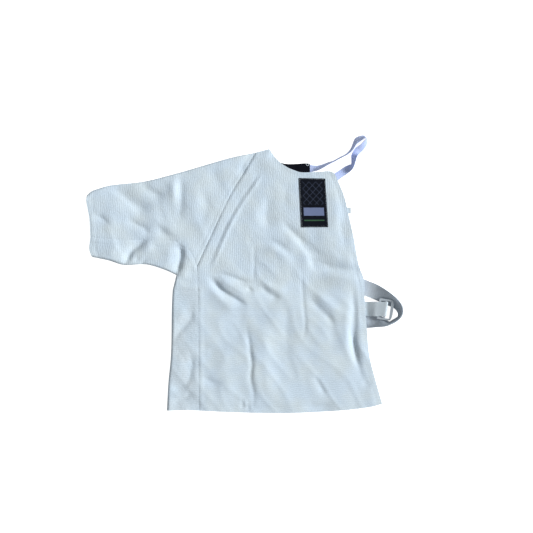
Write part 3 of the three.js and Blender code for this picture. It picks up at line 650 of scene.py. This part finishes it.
def labelMaterial():
    # black woven ground, a plain grey band and a faint lattice of lozenges
    s = labelSetup
    material, tree, shader = newMaterial("wovenLabel")
    place = tree.nodes.new("ShaderNodeUVMap")
    place.uv_map = "face"
    split = tree.nodes.new("ShaderNodeSeparateXYZ")
    tree.links.new(place.outputs[0], split.inputs[0])
    u, v = split.outputs[0], split.outputs[1]
    band = mathNode(tree, "MULTIPLY", mathNode(tree, "GREATER_THAN", v, s["bandFrom"]),
                    mathNode(tree, "LESS_THAN", v, s["bandTo"]))
    inset = mathNode(tree, "MULTIPLY", mathNode(tree, "GREATER_THAN", u, 0.12),
                     mathNode(tree, "LESS_THAN", u, 0.88))
    band = mathNode(tree, "MULTIPLY", band, inset)
    across = mathNode(tree, "MULTIPLY", u, s["latticeAcross"])
    down = mathNode(tree, "MULTIPLY", v, s["latticeAlong"])
    one = mathNode(tree, "PINGPONG", mathNode(tree, "ADD", across, down), 0.5)
    two = mathNode(tree, "PINGPONG", mathNode(tree, "SUBTRACT", across, down), 0.5)
    lattice = mathNode(tree, "LESS_THAN", mathNode(tree, "MINIMUM", one, two), 0.045)
    zone = mathNode(tree, "MULTIPLY", mathNode(tree, "GREATER_THAN", v, 0.46),
                    mathNode(tree, "LESS_THAN", v, 0.93))
    lattice = mathNode(tree, "MULTIPLY", mathNode(tree, "MULTIPLY", lattice, zone), inset)
    rule = mathNode(tree, "LESS_THAN", mathNode(tree, "ABSOLUTE", mathNode(tree, "SUBTRACT", v, 0.14)),
                    0.012)
    rule = mathNode(tree, "MULTIPLY", rule, inset)

    def blended(below, mask, rgb):
        mix = tree.nodes.new("ShaderNodeMix")
        mix.data_type = "RGBA"
        mix.inputs[7].default_value = linear(rgb)
        tree.links.new(mask, mix.inputs[0])
        tree.links.new(below, mix.inputs[6])
        return mix.outputs[2]

    ground = placeGroup(tree, patchGroup, {"Tint": linear(s["black"]), "Second Tint": linear((11, 15, 24)),
                                           "Patch Size": 0.02, "Mottle": 0.5}, place.outputs[0])
    colour = blended(ground.outputs["Color"], lattice, s["line"])
    colour = blended(colour, band, s["band"])
    colour = blended(colour, rule, s["cord"])
    tree.links.new(colour, shader.inputs["Base Color"])
    size = tree.nodes.new("ShaderNodeUVMap")
    size.uv_map = "cut"
    weave = placeGroup(tree, weaveGroup, {"Rib Spacing": 0.0007, "Thread Spacing": 0.0007}, size.outputs[0])
    addBump(tree, shader, weave.outputs["Height"], 0.4, 0.00015)
    tree.links.new(mathNode(tree, "MULTIPLY_ADD", weave.outputs["Fibre"], 0.1, 0.7),
                   shader.inputs["Roughness"])
    shader.inputs["Specular IOR Level"].default_value = 0.08
    return material


def finish(obj, node, material):
    obj.data.materials.append(material)
    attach(obj, "root")
    if node:
        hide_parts(node)
    return obj


halfGap = clothSetup["seamGap"] / 2
spanSteps = {"sleeve": 92, "raglan": 44, "cuffLower": 14, "gussetSide": 18, "side": 84, "hemSide": 20,
             "front": 116}
edge = {
    "sleeveTop": along(cut["sleeveTop"], spanSteps["sleeve"]),
    "cuffUpper": along(cut["cuffUpper"], spanSteps["raglan"]),
    "cuffLower": along(cut["cuffLower"], spanSteps["cuffLower"]),
    "underSleeve": along(cut["underSleeve"], spanSteps["sleeve"]),
    "sideUpper": along(cut["sideUpper"], spanSteps["gussetSide"]),
    "sideLower": along(cut["sideLower"], spanSteps["side"]),
    "gussetSeam": along(cut["gussetSeam"], spanSteps["sleeve"]),
    "raglan": along(cut["raglan"], spanSteps["raglan"]),
    "seamUpper": along(cut["seamUpper"], spanSteps["gussetSide"]),
    "seamLower": along(cut["seamLower"], spanSteps["side"]),
}


def buildSleeve():
    seam = shifted(edge["gussetSeam"], halfGap)
    shoulderSeam = shifted(edge["raglan"][::-1], -halfGap)
    top = edge["sleeveTop"].copy()
    seam[-1] = shoulderSeam[-1] = (-94, 16.2)
    seam[0] = edge["cuffUpper"][-1]
    top[-1] = shoulderSeam[0]
    return foldedMesh("raglanSleeve", patch(edge["cuffUpper"], shoulderSeam, top, seam))


def buildGusset():
    outer = joined(edge["underSleeve"], edge["sideUpper"])
    inner = joined(shifted(edge["gussetSeam"], -halfGap), shifted(edge["seamUpper"], -halfGap))
    cuff = edge["cuffLower"][::-1].copy()
    end = along(cut["gussetEnd"], spanSteps["cuffLower"]) + (0, halfGap)
    inner[-1] = end[-1] = (-92 - halfGap, -32 + halfGap)
    outer[-1] = end[0]
    inner[0] = cuff[-1] = (-306, 74 - halfGap)
    return foldedMesh("underarmGusset", patch(cuff, end, outer, inner))


def buildSide():
    outer = edge["sideLower"].copy()
    inner = shifted(edge["seamLower"], -halfGap)
    top = along(cut["gussetEnd"], spanSteps["hemSide"]) - (0, halfGap)
    hem = along(cut["hemSide"], spanSteps["hemSide"])
    outer[0] = top[0]
    inner[0] = top[-1] = (-92 - halfGap, -32 - halfGap)
    hem[-1] = inner[-1]
    return foldedMesh("sidePanel", patch(top, hem, outer, inner))


def bodyLeft():
    return shifted(joined(edge["seamLower"][::-1], edge["seamUpper"][::-1], edge["raglan"]), -halfGap)


def buildFront():
    left = bodyLeft()
    hem = along(cut["hemFront"], spanSteps["front"])
    right = along(cut["armhole"], len(left) - 1)
    neck = joined(along(cut["shoulder"], 14), along(cut["neckFront"], spanSteps["front"] - 14))
    hem[0], neck[0] = left[0], left[-1]
    plan = patch(hem, neck, left, right)
    return sheetMesh("frontPanel", plan, height(plan[..., 0], plan[..., 1]), clothSetup["thick"])


def buildBack():
    left = bodyLeft()[::2]
    hem = along(cut["hemBack"], 48)
    right = along(cut["spine"], len(left) - 1)
    neck = joined(along(cut["shoulder"], 8), along(cut["neckBack"], 40))
    left[0] = hem[0] = (left[0][0], hem[0][1])
    neck[0] = left[-1]
    plan = patch(hem, neck, left, right)
    flat = underCloth(plan[..., 0], plan[..., 1])
    flat = np.minimum(flat, 1.3)
    return sheetMesh("backPanel", plan, flat, clothSetup["thick"])


panels = {
    "raglanSleeve": finish(buildSleeve(), "raglan_sleeve", materials["canvas"]),
    "underarmGusset": finish(buildGusset(), "underarm_gusset", materials["canvas"]),
    "sidePanel": finish(buildSide(), "side_panel", materials["lowerCanvas"]),
    "frontPanel": finish(buildFront(), "front_panel", materials["canvas"]),
    "backPanel": finish(buildBack(), "back_panel", materials["canvas"]),
}
print("cloth panels made")

facingSetup = {"depth": 22, "thick": 1.0, "resting": 2.9, "overTape": 1.4}


def buildFacing():
    s = facingSetup
    upper = along(cut["neckBack"][1:], 60) + (0.2, 0.4)
    share = np.linspace(0, 1, len(upper))
    t = np.linspace(0, 1, 9)
    plan = np.stack([np.stack([upper[:, 0] - 10 * k * (1 - share), upper[:, 1] - s["depth"] * k],
                              1) for k in t], 1)
    z = s["resting"] + s["overTape"] * ease((plan[..., 0] - 100) / 12)
    return sheetMesh("neckFacing", plan, z, s["thick"])


finish(buildFacing(), "neck_facing", materials["facing"])

tapeRows = [
    (117, 218, 2.9, 117, 203.2, 2.9), (126, 218, 2.9, 126, 203.2, 2.9), (133, 217.8, 2.9, 133, 203.4, 3.0),
    (139, 217, 2.2, 139.5, 204.8, 4.8), (147, 216.5, 1.2, 148, 206.8, 10), (157, 219, 0.6, 159, 212, 13.8),
    (168, 223, 0.6, 170, 218.5, 14.6), (178, 226, 0.6, 179, 223, 15), (191, 233, 0.6, 193, 230.5, 15),
    (204, 240, 0.6, 206, 237.5, 15), (213, 250, 0.6, 216, 246.5, 14.8),
    (218.5, 263.5, 0.6, 224, 258.5, 13.5), (222, 271, 0.6, 229.5, 263, 10.8),
    (230, 275.5, 0.6, 235, 267, 11.6), (240.5, 276.5, 0.6, 241.5, 270.5, 14),
    (245.5, 270, 0.6, 242.5, 268, 14.6), (246, 261, 0.6, 239, 264.5, 13),
    (240.5, 251, 0.6, 232, 257.5, 10.4), (232, 241.5, 1.6, 221, 250, 4.4), (226, 235.5, 9, 214.5, 236.5, 1),
    (222.5, 226, 13.4, 214.5, 227, 0.6), (219.5, 216, 14, 214, 219.5, 0.6), (216, 209, 11.2, 210, 218, 0.6),
    (209, 202.5, 4, 201.5, 214.5, 0.6), (201.5, 197, 0.6, 193, 209, 0.6),
    (188.5, 188, 2.6, 180.5, 200.5, 2.6), (180, 182.5, 3.2, 172.5, 195.5, 3.2),
]
strapRows = [
    (111, 42, 3.1, 100, 14, 3.1), (132, 34, 3.1, 121, 6, 3.1), (154, 25, 1.6, 143, -3, 1.6),
    (198, 7.5, 0.85, 186.5, -20, 0.85), (245, -12.5, 0.85, 233.5, -40, 0.85),
    (264.5, -20.5, 6, 253.5, -48, 0.85), (283, -32, 15.2, 271.5, -55.5, 0.85),
    (297.5, -43.5, 21.6, 287.5, -62.5, 0.85), (309, -56, 26.6, 299, -67.5, 0.85),
    (313.8, -67, 29, 305.5, -74, 0.85), (313.8, -76, 29.6, 307.8, -79.5, 0.85),
    (311.5, -83, 30, 307.5, -84.5, 0.85), (307, -88.5, 30.2, 304.5, -87.5, 0.85),
    (298.5, -95, 30.4, 298, -91.4, 0.85), (291, -98.6, 30.2, 290.5, -95.4, 0.85),
    (284, -101.5, 28.8, 283, -91.5, 0.85), (277, -103.8, 23.4, 274, -84.5, 0.85),
    (268, -105.5, 12.4, 265, -78.8, 0.85), (257, -107, 5, 255.5, -77.8, 0.85),
    (244.5, -108, 1.4, 244, -78.5, 0.85), (218, -109, 0.85, 218, -79.5, 0.85),
    (190, -110, 0.85, 190, -80.5, 0.85),
]
tape, tapeLong = ribbonMesh("neckTape", tapeRows, 1.0, 8)
finish(tape, "neck_tape", materials["tape"])
strap, strapLong = ribbonMesh("waistStrap", strapRows, 1.6, 8, across=9)
finish(strap, "waist_strap", materials["webbing"])

buckle = {
    "x": 281, "y": -70.6, "z": 13.6, "wide": 30, "tall": 42,
    "turn": math.radians(-8), "tilt": math.radians(-15),
    "bar": 4.4, "middleBar": (-2.5, 1.1), "thick": 2.6, "strapThick": 1.5, "strapHalf": 14.4,
}
buckleTurn = (Matrix.Rotation(buckle["turn"], 3, "Z") @ Matrix.Rotation(buckle["tilt"], 3, "Y"))


def buckleStrapRows():
    s = buckle
    middleY = s["y"] + 1
    clear = (s["thick"] + s["strapThick"]) / 2 + 0.4
    rows = [(x, middleY + s["strapHalf"], z, x, middleY - s["strapHalf"], z)
            for x, z in ((204, 3.2), (216, 3.2), (234, 3.2), (245, 4.2), (253, 7.6))]
    turnRound = [(-20, clear + 0.3), (-13, clear + 0.1), (-6, clear), (1.3, clear), (2.4, 1.7), (2.7, 0),
                 (2.4, -1.7),
                 (1.3, -clear), (-6, -clear), (-13, -clear), (-20, -clear)]
    for u, w in turnRound:
        pair = []
        for side in (1, -1):
            drift = u * math.cos(s["tilt"]) * math.sin(s["turn"])
            v = (1 + side * s["strapHalf"] - drift) / math.cos(s["turn"])
            p = buckleTurn @ Vector((u, v, w)) + Vector((s["x"], s["y"], s["z"]))
            pair += list(p)
        rows.append(tuple(pair))
    return rows


# the buckle strap takes the lightened webbing finish, whose extra lightness is painted light
shortStrap, shortLong = ribbonMesh("buckleStrap", buckleStrapRows(), buckle["strapThick"], 6, across=9)
finish(shortStrap, "buckle_strap", materials["strap"])


def buildSlider():
    # the slide buckle as a filled outline with two slots, rounded on all its edges
    s = buckle
    w, h, bar = s["wide"] / 2, s["tall"] / 2, s["bar"]
    edgeRound = 0.55
    outline = [(-w + 3, -h), (w - 8, -h), (w - 3, -h + 1.2), (w - 1, -h + 6), (w, -8), (w + 0.25, 0),
               (w, 8),
               (w - 1, h - 6), (w - 3, h - 1.2), (w - 8, h), (-w + 3, h), (-w + 0.6, h - 0.8), (-w, h - 3),
               (-w, -h + 3), (-w + 0.6, -h + 0.8)]
    slots = [(-w + bar, s["middleBar"][0], h - bar), (s["middleBar"][1], w - bar - 1, h - bar + 0.5)]
    curve = bpy.data.curves.new("slider", "CURVE")
    curve.dimensions = "2D"
    curve.fill_mode = "BOTH"
    curve.extrude = (s["thick"] / 2 - edgeRound) * mm
    curve.bevel_depth = edgeRound * mm
    curve.bevel_resolution = 3
    curve.offset = -edgeRound * mm
    loops = [outline] + [[(l, -q), (r, -q), (r, q), (l, q)] for l, r, q in slots]
    for points in loops:
        spline = curve.splines.new("POLY")
        spline.points.add(len(points) - 1)
        for p, (x, y) in zip(spline.points, points):
            p.co = (x * mm, y * mm, 0, 1)
        spline.use_cyclic_u = True
    temp = bpy.data.objects.new("sliderCurve", curve)
    bpy.context.collection.objects.link(temp)
    bpy.context.view_layer.update()
    mesh = bpy.data.meshes.new_from_object(temp.evaluated_get(bpy.context.evaluated_depsgraph_get()))
    bpy.data.objects.remove(temp)
    place = Matrix.Translation(Vector((s["x"], s["y"], s["z"])) * mm) @ buckleTurn.to_4x4()
    mesh.transform(place)
    mesh.materials.clear()
    obj = bpy.data.objects.new("slideBuckle", mesh)
    bpy.context.collection.objects.link(obj)
    return obj


slider = finish(buildSlider(), "slider", plasticMaterial())
print("tape, straps and buckle made")


def buildLabel():
    s = labelSetup
    c = s["corners"]
    plan = patch(along([c["bottomLeft"], c["bottomRight"]], 26), along([c["topLeft"], c["topRight"]], 26),
                 along([c["bottomLeft"], c["topLeft"]], 44), along([c["bottomRight"], c["topRight"]], 44))
    z = height(plan[..., 0], plan[..., 1]) + clothSetup["thick"] / 2 + 0.15 + s["thick"] / 2
    obj = sheetMesh("chestLabel", plan, z, s["thick"])
    rows, columns = plan.shape[:2]
    v, u = np.meshgrid(np.linspace(0, 1, rows), np.linspace(0, 1, columns), indexing="ij")
    share = np.stack([u, v], 2).reshape(-1, 2)
    total = len(obj.data.vertices)
    share = np.vstack([share, share, np.full((total - 2 * len(share), 2), 0.01)])
    layer = obj.data.uv_layers.new(name="face")
    index = np.empty(len(obj.data.loops), int)
    obj.data.loops.foreach_get("vertex_index", index)
    layer.data.foreach_set("uv", share[index].ravel())
    return obj


label = finish(buildLabel(), "chest_label", labelMaterial())


def buildTab():
    xs, ys = np.linspace(197, 213, 9), np.linspace(120.5, 132.5, 7)
    plan = np.stack([np.stack([np.full(len(ys), x), ys + (x - 205) / 12], 1) for x in xs])
    z = height(plan[..., 0], plan[..., 1]) - 2.4
    return sheetMesh("armholeTab", plan, z, 2.2)


finish(buildTab(), "armhole_tab", materials["strap"])

stitchSetup = {"length": 2.4, "gap": 1.2, "wide": 0.55, "high": 0.4, "sunk": 0.12}


def stitchRows(name, lines, lift=0.0):
    # one mesh of short rounded stitches lying on the upper cloth along each plan line
    s = stitchSetup
    verts, faces = [], []
    for line in lines:
        line = np.asarray(line, float)
        run = np.concatenate([[0], np.cumsum(np.linalg.norm(np.diff(line, axis=0), axis=1))])
        count = max(int(run[-1] / (s["length"] + s["gap"])), 1)
        at = (np.arange(count) + 0.2) * (s["length"] + s["gap"])
        parts = []
        for share in (0, 0.25, 0.75, 1):
            pos = at + share * s["length"]
            parts.append(np.stack([np.interp(pos, run, line[:, 0]), np.interp(pos, run, line[:, 1])], 1))
        way = parts[-1] - parts[0]
        way /= np.linalg.norm(way, axis=1)[:, None] + 1e-9
        side = np.stack([-way[:, 1], way[:, 0]], 1) * s["wide"] / 2
        tops = [height(p[:, 0], p[:, 1]) + clothSetup["thick"] / 2 + lift for p in parts]
        for i in range(count):
            base = len(verts)
            for k, p in enumerate(parts):
                low = tops[k][i] - s["sunk"]
                crown = low + (s["high"] if k in (1, 2) else 0.05)
                narrow = 1.0 if k in (1, 2) else 0.4
                verts += [(*(p[i] + side[i] * narrow), low), (*p[i], crown),
                          (*(p[i] - side[i] * narrow), low)]
            for k in range(3):
                a = base + 3 * k
                faces += [(a, a + 1, a + 4, a + 3), (a + 1, a + 2, a + 5, a + 4), (a + 2, a, a + 3, a + 5)]
            faces += [(base, base + 2, base + 1), (base + 9, base + 10, base + 11)]
    obj = makeMesh(name, np.array(verts) * mm, faces, np.array(verts)[:, :2] * mm)
    return finish(obj, None, materials["thread"])


def seamLine(name, offset, trim=(0, 1)):
    line = shifted(along(cut[name], 60), offset)
    first, last = int(trim[0] * 60), int(trim[1] * 60)
    return line[first:last + 1]


stitchRows("shoulderSeamStitches", [seamLine("raglan", -2.2), seamLine("raglan", -8),
                                    along(raisedSeam, 60)])
stitchRows("gussetStitches", [seamLine("gussetSeam", -2.5), seamLine("gussetSeam", -11)])
stitchRows("sideSeamStitches", [seamLine("seamLower", 2.4), seamLine("seamLower", 10),
                                seamLine("seamUpper", 2.4)])
stitchRows("crossSeamStitches", [seamLine("gussetEnd", 3, (0.08, 1)),
                                 seamLine("gussetEnd", -12, (0.08, 1))])
stitchRows("hemStitches", [seamLine("hemFront", 11), seamLine("hemSide", 11, (0.1, 1)),
                           seamLine("cuffUpper", 12, (0.06, 1)),
                           seamLine("cuffLower", 12, (0, 0.8))])
stitchRows("armholeStitches", [seamLine("armhole", 9), seamLine("neckFront", -7, (0.04, 1))])
stitchRows("strapSeatStitches", [along([(226, -84), (243, -84)], 8), along([(226, -62), (242, -62)], 8),
                                 along([(226, -84), (226, -62)], 8), along([(172, 99), (208, 100.5)], 20)])
inset = 1.6
c = labelSetup["corners"]
loop = [(c["bottomLeft"][0] + inset, c["bottomLeft"][1] + inset),
        (c["bottomRight"][0] - inset, c["bottomRight"][1] + inset),
        (c["topRight"][0] - inset, c["topRight"][1] - inset), (c["topLeft"][0] + inset,
                                                               c["topLeft"][1] - inset)]
stitchRows("labelStitches", [along([loop[i], loop[(i + 1) % 4]], 30) for i in range(4)], lift=0.95)
print("stitches made")


def buildBarTack():
    # a small thread loop over the facing's end
    curve = bpy.data.curves.new("barTack", "CURVE")
    curve.dimensions = "3D"
    curve.bevel_depth = 0.5 * mm
    curve.bevel_resolution = 2
    spline = curve.splines.new("POLY")
    points = [(123.5, 220.5, 5.0), (124.5, 217.5, 5.3), (126.5, 216, 5.5), (128.5, 217.5, 5.3),
              (127.5, 220.3, 5.0)]
    fine = smoothLine(points, 6)
    spline.points.add(len(fine) - 1)
    for p, q in zip(spline.points, fine):
        p.co = (*(q * mm), 1)
    temp = bpy.data.objects.new("barTackCurve", curve)
    bpy.context.collection.objects.link(temp)
    bpy.context.view_layer.update()
    mesh = bpy.data.meshes.new_from_object(temp.evaluated_get(bpy.context.evaluated_depsgraph_get()))
    bpy.data.objects.remove(temp)
    mesh.uv_layers.new(name="cut")
    obj = bpy.data.objects.new("barTack", mesh)
    bpy.context.collection.objects.link(obj)
    mesh.materials.clear()
    return finish(obj, None, materials["thread"])


buildBarTack()

def buildFloor():
    size = 6.0
    floor = makeMesh("floor", [(-size, -size, 0), (size, -size, 0), (size, size, 0), (-size, size, 0)],
                     [(0, 1, 2, 3)], smooth=False)
    floor.location.z = -0.0004
    material, tree, shader = newMaterial("paleFloor")
    shader.inputs["Base Color"].default_value = (0.8, 0.8, 0.8, 1)
    shader.inputs["Roughness"].default_value = 1
    shader.inputs["Specular IOR Level"].default_value = 0
    shader.inputs["Emission Color"].default_value = (1, 1, 1, 1)
    rays = tree.nodes.new("ShaderNodeLightPath")
    seen = mathNode(tree, "ADD", rays.outputs["Is Camera Ray"], rays.outputs["Is Glossy Ray"])
    seen = mathNode(tree, "MINIMUM", mathNode(tree, "ADD", seen, rays.outputs["Is Transmission Ray"]), 1)
    tree.links.new(mathNode(tree, "MULTIPLY", seen, lightSetup["floorGlow"]),
                   shader.inputs["Emission Strength"])
    floor.data.materials.append(material)
    return floor


floor = buildFloor()
world = bpy.data.worlds.new("studio")
world.use_nodes = True
tree = world.node_tree
sky = tree.nodes["Background"]
rays = tree.nodes.new("ShaderNodeLightPath")
seen = mathNode(tree, "MULTIPLY_ADD", rays.outputs["Is Camera Ray"], 1 - lightSetup["worldStrength"],
                lightSetup["worldStrength"])
tree.links.new(seen, sky.inputs["Strength"])
sky.inputs["Color"].default_value = (1, 1, 1, 1)
bpy.context.scene.world = world

sun = bpy.data.lights.new("window", "SUN")
sun.energy = lightSetup["sunStrength"]
sun.angle = math.radians(lightSetup["sunAngle"])
sunObject = bpy.data.objects.new("window", sun)
sunObject.rotation_euler = Vector(lightSetup["sunFrom"]).to_track_quat("Z", "Y").to_euler()
bpy.context.collection.objects.link(sunObject)

camera = bpy.data.cameras.new("camera")
camera.sensor_width = cameraSetup["sensor"]
camera.lens = cameraSetup["sensor"] * cameraSetup["distance"] / cameraSetup["seenWidth"]
cameraObject = bpy.data.objects.new("camera", camera)
cameraObject.location = Vector(cameraSetup["target"]) + Vector((0, 0, cameraSetup["distance"]))
cameraObject.rotation_euler = Euler((0, 0, 0))
bpy.context.collection.objects.link(cameraObject)
bpy.context.scene.camera = cameraObject
bpy.context.scene.view_settings.view_transform = "Standard"

bpy.context.view_layer.update()
print("tape", round(tapeLong), "waist strap", round(strapLong), "short strap", round(shortLong))
